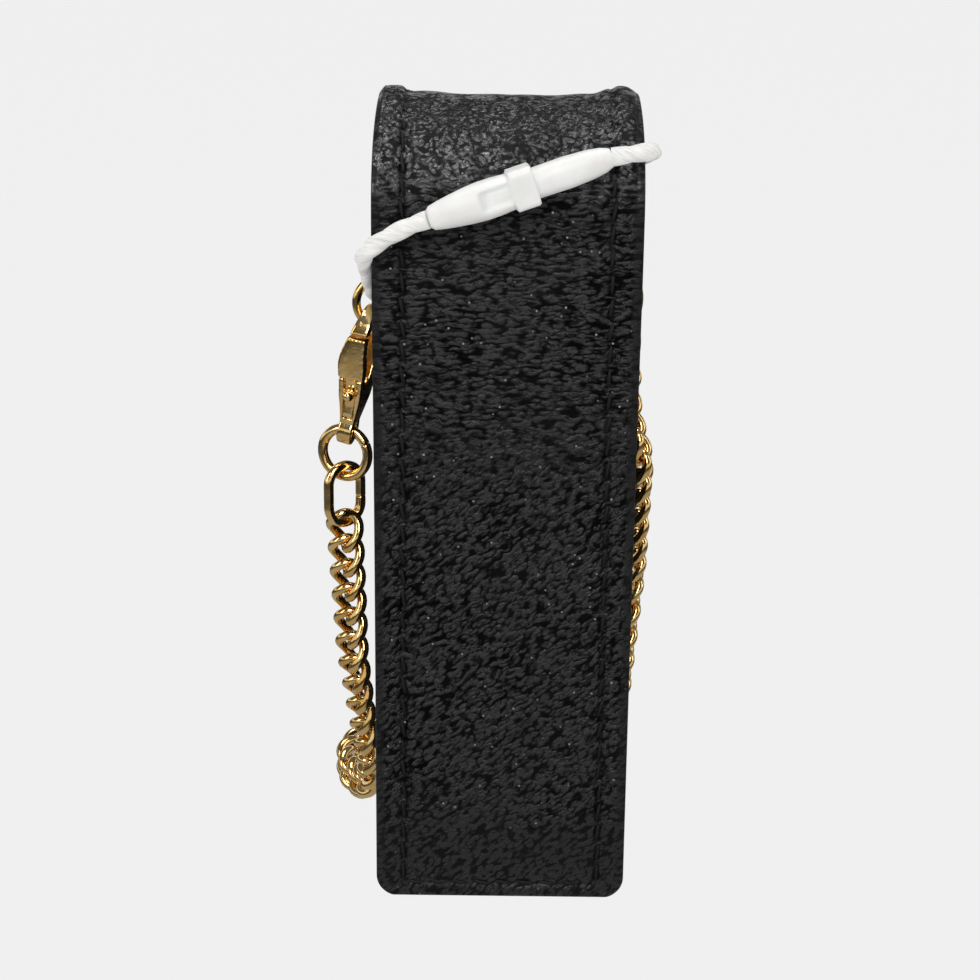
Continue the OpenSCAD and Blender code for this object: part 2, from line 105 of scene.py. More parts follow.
def noise(x, y, seed):
    """Random heights on a unit square lattice, eased between its points by 3t^2 - 2t^3 both
    ways."""
    table = lattice(seed)
    i, j = np.floor(x).astype(int), np.floor(y).astype(int)
    u, v = smooth(0, 1, x - i), smooth(0, 1, y - j)
    a, b, c, d = (table[(i + p) % 128, (j + q) % 128] for p, q in ((0, 0), (1, 0), (0, 1), (1, 1)))
    return (a * (1 - u) + b * u) * (1 - v) + (c * (1 - u) + d * u) * v


def ring_faces(rows, cols, wrap_rows=False):
    """Quads between the rows of a grid whose columns close on themselves."""
    i = np.arange(rows if wrap_rows else rows - 1)[:, None]
    j = np.arange(cols)[None, :]
    k, l = (i + 1) % rows, (j + 1) % cols
    return np.stack([i * cols + j, i * cols + l, k * cols + l, k * cols + j], -1).reshape(-1, 4)


def caps(rows, cols):
    """The two faces that close the ends of a grid of rings."""
    return [range(cols), range((rows - 1) * cols, rows * cols)]


def length_along(line):
    """Length run at each point of a line."""
    return np.concatenate([[0], np.cumsum(np.linalg.norm(np.diff(line, axis=0), axis=1))])


def points_at(line, run, where):
    """The points of a line at these lengths along it."""
    return np.stack([np.interp(where, run, column) for column in line.T], 1)


def new_piece(name, points, faces, material, uv=None, values=None, extra=()):
    """A mesh piece from points in millimetres, shaded smooth. uv holds one pair to a point, values
    names to one number to a point, and extra holds faces of any length, which close its ends."""
    mesh = bpy.data.meshes.new(name)
    mesh.from_pydata((points * MM).tolist(), [], faces.tolist() + [list(map(int, f)) for f in extra])
    mesh.polygons.foreach_set("use_smooth", np.ones(len(mesh.polygons), bool))
    if uv is not None:
        corner = np.empty(len(mesh.loops), int)
        mesh.loops.foreach_get("vertex_index", corner)
        mesh.uv_layers.new(name="UVMap").data.foreach_set("uv", uv[corner].astype(np.float32).ravel())
    for key, value in (values or {}).items():
        mesh.attributes.new(key, "FLOAT", "POINT").data.foreach_set("value", value.astype(np.float32))
    mesh.materials.append(material)
    mesh.update()
    piece = bpy.data.objects.new(name, mesh)
    scene.collection.objects.link(piece)
    return piece


def outwards(piece):
    """Turns every face of a closed piece outwards."""
    work = bmesh.new()
    work.from_mesh(piece.data)
    bmesh.ops.recalc_face_normals(work, faces=work.faces)
    work.to_mesh(piece.data)
    work.free()
    return piece


def loft(name, grid, material, **more):
    """A closed piece from a grid of points, ring after ring."""
    rows, cols = grid.shape[:2]
    return outwards(new_piece(name, grid.reshape(-1, 3), ring_faces(rows, cols), material,
                              extra=caps(rows, cols), **more))


def tube(line, side, third, radius, angle):
    """The grid of points of a tube: point of the line + radius (cos angle side + sin angle third).
    Radius and angle may differ from point to point and round each ring."""
    way = np.cos(angle)[..., None] * side[:, None] + np.sin(angle)[..., None] * third[:, None]
    return line[:, None] + radius[..., None] * way


def settle(piece, body, slot, *nodes):
    """The piece rides a body and stands for these CAD nodes; slot is not used."""
    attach(piece, body)
    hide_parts(*nodes)


def frames(path, first):
    """Tangent, side and third direction at each point of a path, the side carried along it without
    twist."""
    tangent = unit(np.gradient(path, axis=0))
    side = np.empty_like(path)
    carried = np.array(first, float)
    for n, t in enumerate(tangent):
        carried = carried - t * (t @ carried)
        carried /= np.linalg.norm(carried)
        side[n] = carried
    return tangent, side, np.cross(tangent, side)


def revolve(name, profile, base, axis, material, sides):
    """A profile of (radius, height) turned round an axis: base + h axis + r (cos a side + sin a
    third)."""
    profile = np.array(profile, float)
    axis = unit(np.array(axis, float))
    side = unit(np.cross(axis, [0.3, 0.5, 0.8]))
    third = np.cross(axis, side)
    a = TAU * np.arange(sides) / sides
    ring = np.cos(a)[:, None] * side + np.sin(a)[:, None] * third
    radius, height = profile.T[..., None, None]
    return loft(name, base + height * axis + radius * ring[None], material)


# ---------------------------------------------------------------- materials
def linear(code):
    """An sRGB hex colour as linear red, green, blue and one."""
    c = [int(code[n:n + 2], 16) / 255 for n in (1, 3, 5)]
    return [x / 12.92 if x <= 0.04045 else ((x + 0.055) / 1.055) ** 2.4 for x in c] + [1.0]


def add(tree, kind, settings=None, **links):
    """A node of a kind, with its settings and with its inputs linked or set. A name's _ stands for
    a space and an input may also be named by number, as i0."""
    made = tree.nodes.new(kind)
    for key, value in (settings or {}).items():
        setattr(made, key, value)
    for key, value in links.items():
        numbered = key[0] == "i" and key[1:].isdigit()
        socket = made.inputs[int(key[1:]) if numbered else key.replace("_", " ")]
        if isinstance(value, bpy.types.NodeSocket):
            tree.links.new(value, socket)
        else:
            socket.default_value = value
    return made


def surface(name, **sockets):
    """A material of one Principled shader with these constant sockets, and its node tree and
    shader."""
    material = bpy.data.materials.new(name)
    material.use_nodes = True
    tree = material.node_tree
    shader = tree.nodes["Principled BSDF"]
    for key, value in sockets.items():
        shader.inputs[key.replace("_", " ")].default_value = value
    return material, tree, shader


def ramp(tree, factor, stops):
    """A colour ramp with (position, colour or number) stops."""
    made = add(tree, "ShaderNodeValToRGB", Fac=factor)
    while len(made.color_ramp.elements) < len(stops):
        made.color_ramp.elements.new(0.5)
    for element, (at, value) in zip(made.color_ramp.elements, stops):
        element.position = at
        element.color = value if isinstance(value, list) else [value] * 3 + [1.0]
    return made.outputs["Color"]


def maths(tree, operation, a, b):
    return add(tree, "ShaderNodeMath", {"operation": operation}, i0=a, i1=b).outputs[0]


def mixed(tree, share, low, high):
    """A colour from low to high."""
    return add(tree, "ShaderNodeMix", {"data_type": "RGBA"}, i0=share, i6=low, i7=high).outputs[2]


def waves(tree, scale, detail, at=None):
    """Noise of so many waves to a metre, over the object's own coordinates or over those given."""
    if at is None:
        at = add(tree, "ShaderNodeTexCoord").outputs["Object"]
    return add(tree, "ShaderNodeTexNoise", Vector=at, Scale=scale, Detail=detail).outputs["Fac"]


def tint(tree, shader, factor, low, high):
    """The base colour, from low where the factor is 0.3 or less to high where it is 0.7 or more."""
    colour = ramp(tree, factor, [(0.3, linear(low)), (0.7, linear(high))])
    tree.links.new(colour, shader.inputs["Base Color"])


def roughen(tree, shader, factor, stops):
    tree.links.new(ramp(tree, factor, stops), shader.inputs["Roughness"])


def emboss(tree, shader, height, strength, distance):
    made = add(tree, "ShaderNodeBump", Height=height, Strength=strength, Distance=distance)
    tree.links.new(made.outputs["Normal"], shader.inputs["Normal"])


def goat_leather():
    """Chrome-tanned goatskin with a boarded grain, black, semi-gloss: small pillowed cells, drawn
    out along creases that run across at the top and slant lower down, round and sparkling where it
    is bent, with small pits at its pores. Its colour holds painted shade, darker in the valleys of
    the grain than on its tops, and a painted glint on each pore."""
    material, tree, shader = surface("goat leather, boarded grain", IOR=1.5)
    uv = add(tree, "ShaderNodeUVMap").outputs["UV"]            # one unit to a metre along the surface
    mm = 1000.0                                                # Scale=mm makes cells of 1 mm
    warp = add(tree, "ShaderNodeTexNoise", Vector=uv, Scale=0.6 * mm, Detail=3.0).outputs["Color"]
    shift = add(tree, "ShaderNodeVectorMath", {"operation": "MULTIPLY_ADD"}, i0=warp,
                i1=(0.0010, 0.0010, 0.0), i2=uv).outputs["Vector"]

    def pillows(degrees, long, wide):
        """Cells long by wide millimetres, high in their middle and low where they meet."""
        turned = add(tree, "ShaderNodeMapping", {"vector_type": "TEXTURE"}, Vector=shift,
                     Rotation=(0, 0, math.radians(degrees)), Scale=(long, wide, 1)).outputs["Vector"]
        cell = add(tree, "ShaderNodeTexVoronoi", {"feature": "F1"}, Vector=turned,
                   Scale=mm).outputs["Distance"]
        streak = add(tree, "ShaderNodeTexNoise", Vector=turned, Scale=0.9 * mm, Detail=5.0,
                     Roughness=0.7).outputs["Fac"]
        return maths(tree, "MULTIPLY", ramp(tree, cell, [(0.1, 1.0), (0.46, 0.8), (0.78, 0.0)]),
                     ramp(tree, streak, [(0.4, 0.25), (0.47, 0.8), (0.6, 1.0)]))

    slant = pillows(36, 0.95, 0.42)
    across = pillows(4, 1.15, 0.42)
    round_ = pillows(0, 0.55, 0.42)
    clump = add(tree, "ShaderNodeTexVoronoi", {"feature": "DISTANCE_TO_EDGE"}, Vector=shift,
                Scale=0.34 * mm).outputs["Distance"]           # 3 mm across
    fine = add(tree, "ShaderNodeTexNoise", Vector=uv, Scale=5.0 * mm, Detail=3.0,
               Roughness=0.6).outputs["Fac"]                   # 0.2 mm
    pore = add(tree, "ShaderNodeTexVoronoi", {"feature": "F1"}, Vector=uv,
               Scale=0.62 * mm).outputs["Distance"]            # 1.6 mm apart

    bent, grain, level = (add(tree, "ShaderNodeAttribute", {"attribute_name": name}).outputs["Fac"]
                          for name in ("bent", "grain", "level"))
    folds = add(tree, "ShaderNodeMix", i0=level, i2=slant, i3=across).outputs[0]
    cells = maths(tree, "MULTIPLY", round_, ramp(tree, clump, [(0.0, 0.15), (0.16, 1.0)]))
    height = add(tree, "ShaderNodeMix", i0=bent, i2=folds, i3=cells).outputs[0]
    height = maths(tree, "ADD", height, maths(tree, "MULTIPLY", fine, 0.25))
    pit = ramp(tree, pore, [(0.06, 1.0), (0.15, 0.0)])
    height = maths(tree, "SUBTRACT", height, maths(tree, "MULTIPLY", pit, 0.5))
    swollen = maths(tree, "ADD", maths(tree, "MULTIPLY", bent, 0.12), 1.0)
    raised = maths(tree, "MULTIPLY", height, swollen)
    relief = maths(tree, "MULTIPLY", raised, grain)
    emboss(tree, shader, relief, 1.0, 0.00022)
    # painted shade: the colour runs from near black in the valleys of the grain to dark grey on its tops
    colour = ramp(tree, raised, [(0.15, linear("#010101")), (0.4, linear("#060607")),
                                 (0.62, linear("#101011")), (1.0, linear("#19191b"))])
    colour = mixed(tree, grain, linear("#161617"), colour)
    # painted highlight: a pale grey glint painted into the colour on each pore
    painted_pore_glint = maths(tree, "MULTIPLY", ramp(tree, pore, [(0.055, 1.0), (0.1, 0.0)]), grain)
    colour = mixed(tree, maths(tree, "MULTIPLY", painted_pore_glint, 0.8), colour, linear("#a8a8aa"))
    tree.links.new(colour, shader.inputs["Base Color"])
    roughen(tree, shader, raised, [(0.2, 0.5), (0.5, 0.32), (0.9, 0.22)])
    gloss = ramp(tree, raised, [(0.25, 0.05), (0.5, 0.3), (0.85, 0.55)])
    polish = maths(tree, "ADD", maths(tree, "MULTIPLY", bent, 2.0), 1.0)       # stretched leather shines
    tree.links.new(maths(tree, "MULTIPLY", gloss, polish), shader.inputs["Specular IOR Level"])
    return material


def edge_paint():
    """Acrylic edge paint, rolled on and buffed: smooth satin black with faint waves."""
    material, tree, shader = surface("edge paint, buffed", IOR=1.48, Roughness=0.42,
                                     Specular_IOR_Level=0.4)
    wave = waves(tree, 700.0, 2.0)                  # 1.4 mm
    tint(tree, shader, wave, "#0c0c0d", "#131314")
    emboss(tree, shader, wave, 0.35, 0.0001)
    return material


def microfibre():
    """Brushed microfibre lining: matt, dark brown, with short nap that catches light at a low
    angle."""
    material, tree, shader = surface("microfibre lining", IOR=1.45, Roughness=0.9, Sheen_Weight=0.35,
                                     Sheen_Roughness=0.45)
    nap = waves(tree, 2600.0, 4.0)                  # fibres of 0.4 mm
    patch = waves(tree, 160.0, 2.0)                 # strokes of 6 mm
    both = maths(tree, "ADD", maths(tree, "MULTIPLY", nap, 0.6), maths(tree, "MULTIPLY", patch, 0.4))
    tint(tree, shader, both, "#1c1614", "#372e2a")
    emboss(tree, shader, nap, 0.5, 0.0002)
    return material


def plated_brass(name, low, high, smoothest, roughest):
    """Cast or drawn brass, tumbled and plated with pale gold: mirror-like, with faint tumbling
    dents."""
    material, tree, shader = surface(name, Metallic=1.0)
    dent = waves(tree, 1500.0, 3.0)                 # dents of 0.7 mm
    tint(tree, shader, waves(tree, 420.0, 2.0), low, high)      # tone over 2.4 mm
    roughen(tree, shader, dent, [(0.35, smoothest), (0.7, roughest)])
    emboss(tree, shader, dent, 0.22, 0.0001)
    return material


def spring_steel():
    """Cold-rolled spring strip: grey, finely drawn along its length."""
    material, tree, shader = surface("spring steel strip", Metallic=1.0)
    at = add(tree, "ShaderNodeTexCoord").outputs["Object"]
    along = add(tree, "ShaderNodeMapping", Vector=at, Scale=(1.0, 1.0, 0.08)).outputs["Vector"]
    drawn = waves(tree, 9000.0, 2.0, along)         # lines of 0.1 mm
    tint(tree, shader, drawn, "#8c8c8e", "#b4b4b6")
    roughen(tree, shader, drawn, [(0.3, 0.28), (0.7, 0.42)])
    return material


def moulded_nylon():
    """Moulded white nylon: satin, slightly see-through in thin places, with faint flow marks."""
    material, tree, shader = surface("moulded white nylon", IOR=1.53, Subsurface_Weight=0.25,
                                     Subsurface_Scale=0.0008)
    grit = waves(tree, 5200.0, 2.0)                 # mould texture of 0.2 mm
    tint(tree, shader, waves(tree, 260.0, 3.0), "#d6d6d3", "#e4e4e2")       # flow marks of 4 mm
    roughen(tree, shader, grit, [(0.3, 0.36), (0.7, 0.5)])
    emboss(tree, shader, grit, 0.15, 0.00006)
    return material


def cotton_cord():
    """Mercerised cotton, two plies twisted: soft white, with fibres that lie along each ply."""
    material, tree, shader = surface("twisted cotton cord", IOR=1.45, Roughness=0.85, Sheen_Weight=0.5,
                                     Sheen_Roughness=0.5)
    uv = add(tree, "ShaderNodeUVMap").outputs["UV"]
    lay = add(tree, "ShaderNodeMapping", Vector=uv, Scale=(1.0, 0.12, 1.0)).outputs["Vector"]
    fibre = waves(tree, 5200.0, 3.0, lay)           # fibres of 0.2 mm
    tint(tree, shader, fibre, "#d0cfcb", "#ecebe8")
    emboss(tree, shader, fibre, 0.7, 0.00012)
    return material


def waxed_thread():
    """Waxed polyester thread: black, low gloss, with its own twist."""
    material, tree, shader = surface("waxed polyester thread", IOR=1.5, Roughness=0.6,
                                     Specular_IOR_Level=0.3)
    ply = waves(tree, 3600.0, 2.0)                  # plies of 0.3 mm
    tint(tree, shader, ply, "#040405", "#0c0c0d")
    emboss(tree, shader, ply, 0.6, 0.00015)
    return material


LEATHER = goat_leather()
EDGE = edge_paint()
LINING = microfibre()
CHAIN_GOLD = plated_brass("plated brass wire", "#e0b266", "#f4d596", 0.09, 0.16)
CAST_GOLD = plated_brass("plated cast brass", "#e2b66a", "#f6d99c", 0.08, 0.14)
STEEL = spring_steel()
NYLON = moulded_nylon()
CORD = cotton_cord()
THREAD = waxed_thread()

# ---------------------------------------------------------------- tag cord
STRING = np.array([
    [-8.7, -15.2, 84.1], [-10.6, -14.8, 83.3], [-12.6, -14.2, 82.2], [-14.5, -13.6, 80.9],
    [-15.9, -12.1, 79.3], [-15.9, -9.6, 77.5], [-15.8, -7.2, 75.7], [-15.6, -4.8, 74],
    [-15.5, -2.6, 72.9], [-15.5, -0.9, 72.8], [-15.6, 1.2, 73.9], [-15.3, 2.6, 76],
    [-14.3, 3.2, 78.4], [-12.4, 2.8, 80.3], [-9.8, 1.2, 81.3], [-6.4, -1.2, 81.5],
    [-2.4, -3.6, 81.6], [2, -4.8, 82.4], [6.4, -5, 84.4], [10.2, -5, 86.8],
    [13.2, -5.3, 88.7], [15.2, -6.4, 89.8], [15.9, -8.4, 90.5], [15.9, -10.8, 91.1],
    [15, -12.6, 91.3], [13.1, -13.1, 91.1], [11.3, -13, 90.8]])
PLY_TURN = 7.0                      # length of one turn of the plies
PLY_R, PLY_OFF = 0.74, 0.13         # radius of a ply, and its middle's distance from the cord's
CORD_SIDES = 20


def eased_path(points, count):
    """A Catmull-Rom line through the points, taken at even steps of its own length."""
    ends = np.vstack([points[:1], points, points[-1:]])
    u = np.linspace(0, len(points) - 1 - 1e-9, count * 4)
    i = u.astype(int)
    f = (u - i)[:, None]
    a, b, c, d = (ends[i + k] for k in range(4))
    line = (b + f * 0.5 * (c - a) + f * f * (a - 2.5 * b + 2 * c - 0.5 * d)
            + f ** 3 * (-0.5 * a + 1.5 * b - 1.5 * c + 0.5 * d))
    run = length_along(line)
    return points_at(line, run, np.linspace(0, run[-1], count)), run[-1]


string_path, string_length = eased_path(STRING, 420)
a = TAU * np.arange(CORD_SIDES) / CORD_SIDES
turn = TAU * np.linspace(0, string_length, len(string_path)) / PLY_TURN
swell = 1 + 0.2 * smooth(-9, -12.5, string_path[:, 1])          # on the back
# outline of two round plies side by side: g |cos a| + root(r^2 - g^2 sin^2 a)
outline = PLY_OFF * np.abs(np.cos(a)) + np.sqrt(PLY_R ** 2 - (PLY_OFF * np.sin(a)) ** 2)
_, side, third = frames(string_path, [0, 0, 1])
string_points = tube(string_path, side, third, outline * swell[:, None], a + turn[:, None])
string_uv = np.stack(np.broadcast_arrays(a * 0.75 * MM, (turn / TAU * PLY_TURN * MM)[:, None]), -1)
tag_cord = loft("tag_cord", string_points, CORD, uv=string_uv.reshape(-1, 2))
settle(tag_cord, "case", "string", "tag_string")

# ---------------------------------------------------------------- seal
SEAL_A, SEAL_B = STRING[0], STRING[-1]
seal_axis = unit(SEAL_B - SEAL_A)
seal_l = np.linalg.norm(SEAL_B - SEAL_A)
split = 0.56 * seal_l               # where the plug comes out of the socket
seal_up = unit(np.cross(np.cross(seal_axis, [0, -1, 0]), seal_axis))     # the side that faces out
seal_side = np.cross(seal_axis, seal_up)


def seal_half(name, stations, window=None):
    """A moulded half lofted along the seal: at each station (place, half height, half depth, power)
    the section is a rounded box, |y/h|^n + |x/d|^n = 1, and window sinks its front face."""
    sides = 56
    a = TAU * np.arange(sides) / sides
    at, high, deep, power = stations.T
    at = at[:, None]
    c, s = np.cos(a)[None, :], np.sin(a)[None, :]
    n = power[:, None]
    r = (np.abs(c) ** n + np.abs(s) ** n) ** (-1 / n)
    across, out = high[:, None] * r * c, deep[:, None] * r * s
    if window is not None:
        out = out - window(at, across, out)
    points = SEAL_A + at[..., None] * seal_axis + across[..., None] * seal_side + out[..., None] * seal_up
    return loft(name, points, NYLON)


def fill(stations, step=0.25):
    """Stations taken every step along, with half sizes eased between the ones that are named."""
    s = np.array(stations, float)
    at = np.unique(np.concatenate([s[:, 0], np.arange(s[0, 0], s[-1, 0], step)]))
    return np.stack([at] + [np.interp(at, s[:, 0], s[:, k]) for k in (1, 2, 3)], 1)


def read_window(at, across, out):
    """A shallow pocket with a sloped rim on the socket's front: depth times a rise along and a rise
    across."""
    middle = np.abs(across + 0.1)
    pocket = smooth(5.7, 6.3, at) * (1 - smooth(9.3, 9.5, at)) * (1 - smooth(0.85, 1.2, middle))
    catch = smooth(5.9, 6.2, at) * (1 - smooth(6.6, 7.1, at)) * (1 - smooth(0.5, 0.9, np.abs(across)))
    return np.where(out > 0, 0.5 * pocket + 0.22 * catch, 0)


COLLAR = 9.55                       # where the collar starts, from the seal's left end
seal_socket = seal_half("seal_body", np.vstack([
    fill([[0.0, 0.75, 0.75, 2], [0.12, 1.05, 1.0, 2], [0.45, 1.36, 1.3, 2], [1.5, 1.6, 1.5, 2],
          [3.0, 1.84, 1.75, 2], [4.6, 2.05, 1.95, 2.1], [6.2, 2.16, 2.0, 2.3], [7.8, 2.14, 1.98, 2.4],
          [COLLAR - 0.1, 2.02, 1.9, 2.4]]),
    fill([[COLLAR, 2.14, 1.92, 4], [COLLAR + 0.14, 2.3, 2.0, 6], [COLLAR + 2.5, 2.3, 2.0, 6],
          [COLLAR + 2.72, 2.2, 1.92, 5], [COLLAR + 2.78, 1.8, 1.6, 3]], 0.4)]), read_window)
seal_plug = seal_half("seal_tongue", fill(
    [[split, 1.5, 1.5, 2.4], [split + 0.08, 1.72, 1.7, 2.4], [seal_l - 5, 1.78, 1.72, 2.2],
     [seal_l - 2.6, 1.64, 1.6, 2.1], [seal_l - 1.1, 1.42, 1.4, 2], [seal_l - 0.3, 1.12, 1.1, 2],
     [seal_l - 0.06, 0.98, 0.96, 2], [seal_l, 0.8, 0.8, 2]]))
settle(seal_socket, "case", "seal", "seal_socket")
settle(seal_plug, "case", "seal", "seal_plug")

# ---------------------------------------------------------------- leather strip
back_low, back_high = size("back_panel")
flap_low, flap_high = size("flap")
HALF_W = back_high[0]
BEND_R = -back_low[1]
BEND_H = flap_high[2] - BEND_R
FLAP_EDGE = flap_low[2]
LEATHER_T = 1.2
SHELL_T = 1.8                        # leather and lining
CORNER_R = 2.6                       # lower corners of both panels
FLAP_R = 7.0
BAND = 0.9                           # width of the smooth band inside the edge
STITCH_IN = 3.3                      # from the edge to the rows of stitches
STITCH_LOW = 1.95                    # height of the row along the lower edge
STITCH_PITCH = 2.7
back_run = BEND_H
bend_run = math.pi * BEND_R
crest_run = back_run + bend_run / 2
strip_run = back_run + bend_run + BEND_H - FLAP_EDGE


def strip_line(s):
    """Place and outward direction on the outer face at a length s from the lower edge: straight up
    the back, round half a circle, straight down the front."""
    turn = np.clip((s - back_run) / BEND_R, 0, math.pi)
    down = np.maximum(0, s - back_run - bend_run)
    y = -BEND_R * np.cos(turn)
    z = np.minimum(s, back_run) + BEND_R * np.sin(turn) - down
    place = np.stack([0 * s, y, z], -1)
    out = np.stack([0 * s, -np.cos(turn), np.sin(turn)], -1)
    return place, out


def end_width(d, r):
    """Half the width lost at a distance d from a square end with corners rounded to r."""
    return np.where(d < r, r - np.sqrt(np.maximum(0, r * r - (r - d) ** 2)), 0)


def strip_half_width(s):
    narrow = 0.3 * bell(s - crest_run, 9)                         # a bent strip draws in at its crest
    spreads = 0.16 * bell(s - back_run, 24)                       # and spreads where the bend begins
    return HALF_W - end_width(s, CORNER_R) - end_width(strip_run - s, FLAP_R) - narrow + spreads


END_STEP = 0.22                      # between the rows of a skin near its ends
INNER_COLUMNS = np.array([1, 0.985, 0.95, 0.7, 0.35, 0, -0.35, -0.7, -0.95, -0.985, -1.0])


def even_steps(length, step, ends):
    """Lengths from 0 to the whole, closer together within ends of both ends."""
    inner = np.linspace(ends, length - ends, max(2, int(round((length - 2 * ends) / step)) + 1))
    t = (1 - np.cos(np.linspace(0, math.pi / 2, int(round(ends / END_STEP)) + 1))) * ends
    return np.unique(np.round(np.concatenate([t, inner, length - t]), 5))


def skin(name, line, length, half_width, thick, depth, material, rim, columns, relief=None, step=0.36,
         edge_r=0.5, width_dir=(1, 0, 0), attributes=None, ends=3.0):
    """A strip of leather with a rounded edge: at length s and share v of its width a point is
    place(s) + width v w(s) + out(s) (relief - depth - edge), where the edge drops by e - root(e^2 -
    (e - d)^2) within e of its outline; the inner face lies thick below it, and rim is the material
    of its painted edge."""
    s = even_steps(length, step, ends)
    place, out = line(s)
    w = half_width(s)[:, None]
    e = min(edge_r, thick / 2 - 0.02)

    def face(shares):
        """Over a grid: length, place across, distance from the side, from the end and from the
        outline, drop."""
        sv, vv = np.meshgrid(s, shares, indexing="ij")
        side_d, end_d = (1 - np.abs(vv)) * w, np.minimum(sv, length - sv)
        d = np.minimum(side_d, end_d)
        return sv, vv * w, side_d, end_d, d, e - np.sqrt(np.maximum(0, e * e - np.maximum(0, e - d) ** 2))

    sv, x, side_d, end_d, d, drop = face(columns)
    si, xi, _, _, d_in, rise = face(INNER_COLUMNS)
    lift = (relief(x, sv, side_d, end_d) if relief else 0 * x) * smooth(0, 0.6, d)
    level = np.hstack([lift - depth - drop, rise - depth - thick])
    grid = (place[:, None] + np.hstack([x, xi])[..., None] * np.array(width_dir, float)
            + level[..., None] * out[:, None])
    # the inner face has its own part of the UV map, beside the outer one
    uv = np.stack([np.hstack([x, (2 * w + 3) + xi]), np.hstack([sv, si])], -1) * MM
    values = {key: np.hstack([value(x, sv, side_d, end_d), 0 * xi]).ravel()
              for key, value in (attributes or {}).items()}
    piece = loft(name, grid, material, uv=uv.reshape(-1, 2), values=values)
    piece.data.materials.append(rim)
    # every face whose corners all lie on the rounded edge is painted
    edge = np.hstack([d < e * 0.35, d_in < e * 0.35]).ravel()
    which = [1 if all(edge[k] for k in f.vertices) else 0 for f in piece.data.polygons]
    piece.data.polygons.foreach_set("material_index", which)
    return piece


EDGE_COLUMNS = (0.0, 0.03, 0.1, 0.2, 0.32, 0.46, 0.62, 0.9, 1.2, 1.32, 1.44, 1.56)


def spread(step, sewn=False):
    """Shares of the half width across a strip, closer together at the edges and, where it is sewn,
    at the rows."""
    x = list(np.arange(-HALF_W, HALF_W + 1e-6, step))
    if sewn:
        x += [c * (HALF_W - STITCH_IN) + o for c in (-1, 1) for o in np.arange(-0.75, 0.76, 0.15)]
    x += [c * (HALF_W - o) for c in (-1, 1) for o in EDGE_COLUMNS]
    x = np.unique(np.round(np.clip(x, -HALF_W, HALF_W), 3))
    keep = [x[0]]
    for value in x[1:-1]:
        if value - keep[-1] > 0.025:
            keep.append(value)
    return np.array(keep + [x[-1]]) / HALF_W


def strip_relief(x, s, side_d, end_d):
    """Low relief of the leather: slow waves, creases across at the top of the back and slanting
    lower down, a line inside the edge band, a channel under the stitches, and the edges that curl
    up where the strip is bent."""
    inside = smooth(BAND, BAND + 0.8, side_d) * smooth(BAND, BAND + 0.8, end_d)
    slow = 0.10 * noise(x / 7, s / 5, 3) + 0.05 * noise(x / 2.6, s / 1.7, 5)
    slant_x, slant_s = x * 0.79 + s * 0.61, s * 0.79 - x * 0.61
    slant = noise(slant_x / 3.4, slant_s / 0.95, 7)
    level = noise(x / 4.2, s / 0.85, 11)
    share = smooth(48, 68, s) * (1 - smooth(98, 104, s))
    calm = smooth(7, 16, s)
    fold = -0.07 * np.maximum(0, slant * (1 - share) + level * share) * (0.25 + 0.75 * calm)
    line = -0.05 * bell(side_d - BAND, 0.14) - 0.16 * (1 - smooth(0, BAND, side_d))
    row = np.abs(np.abs(x) - (HALF_W - STITCH_IN))
    near = 0.5 + 0.5 * np.cos(TAU * s / STITCH_PITCH)
    channel = -(0.2 + 0.2 * near) * bell(row, 0.38) - 0.08 * bell(row, 1.0)
    channel = np.minimum(channel, -(0.16 + 0.12 * (0.5 + 0.5 * np.cos(TAU * x / STITCH_PITCH)))
                         * bell(s - STITCH_LOW, 0.36) * (np.abs(x) < HALF_W - STITCH_IN + 0.3))
    crest = bell(s - crest_run, 9.5)
    left = 0.6 * smooth(10.8, 12.2, -x) - 0.4 * smooth(13.8, HALF_W, -x) ** 2
    right = 0.95 * smooth(9.6, 12.2, x) - 1.3 * smooth(11.8, HALF_W + 0.6, x) ** 2
    curl = crest * (left + right)
    sag = -crest * (0.5 - 0.35 * smooth(4, 11, np.abs(x)) + 0.12 * noise(x / 3, s / 9, 31))
    return (slow + fold) * inside + line + channel + curl + sag


def bent_share(x, s, side_d, end_d):
    """1 round the bend and 0 on the back and the flap."""
    over = back_run + bend_run
    return smooth(back_run + 1, back_run + 6, s) * (1 - smooth(over - 6, over, s))


def grain_share(x, s, side_d, end_d):
    """Grain is pressed flat under the edge band, weak near the lower edge and full elsewhere."""
    flat = smooth(BAND - 0.15, BAND + 0.35, side_d)
    low = 0.35 + 0.65 * smooth(6, 17, s + 1.5 * noise(x / 4, s / 3, 21))
    patch = 0.85 + 0.3 * noise(x / 5, s / 6, 23)
    return (0.12 + 0.88 * flat) * low * patch


def level_share(x, s, side_d, end_d):
    """1 where the creases run across and 0 where they slant."""
    return smooth(46, 66, s) * (1 - smooth(118, 130, s))


def none(x, s, side_d, end_d):
    return 0 * x


strip = skin("leather_strip", strip_line, strip_run, strip_half_width, LEATHER_T, 0.0, LEATHER, EDGE,
             spread(0.4, sewn=True), strip_relief,
             attributes={"bent": bent_share, "grain": grain_share, "level": level_share})
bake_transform(strip)
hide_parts("back_panel", "flap")

LINING_IN = 0.25                     # how far the lining's edge lies inside the leather's
LAP = 0.02                           # how far the lining reaches into the leather
lining_strip = skin("lining_strip", strip_line, strip_run, lambda s: strip_half_width(s) - LINING_IN,
                    SHELL_T - LEATHER_T + LAP, LEATHER_T - LAP, LINING, EDGE, spread(1.5), step=0.8,
                    edge_r=0.2)
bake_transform(lining_strip)
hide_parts("back_lining", "flap_lining")

# ---------------------------------------------------------------- front panel
_, front_high = size("front_panel")
MOUTH = front_high[2]


def front_line(s):
    """Straight up the outer face of the front panel."""
    return (np.stack([0 * s, 0 * s + front_high[1], s], -1), np.stack([0 * s, 0 * s + 1, 0 * s], -1))


def front_half_width(s):
    return HALF_W - end_width(s, CORNER_R) + 0 * s


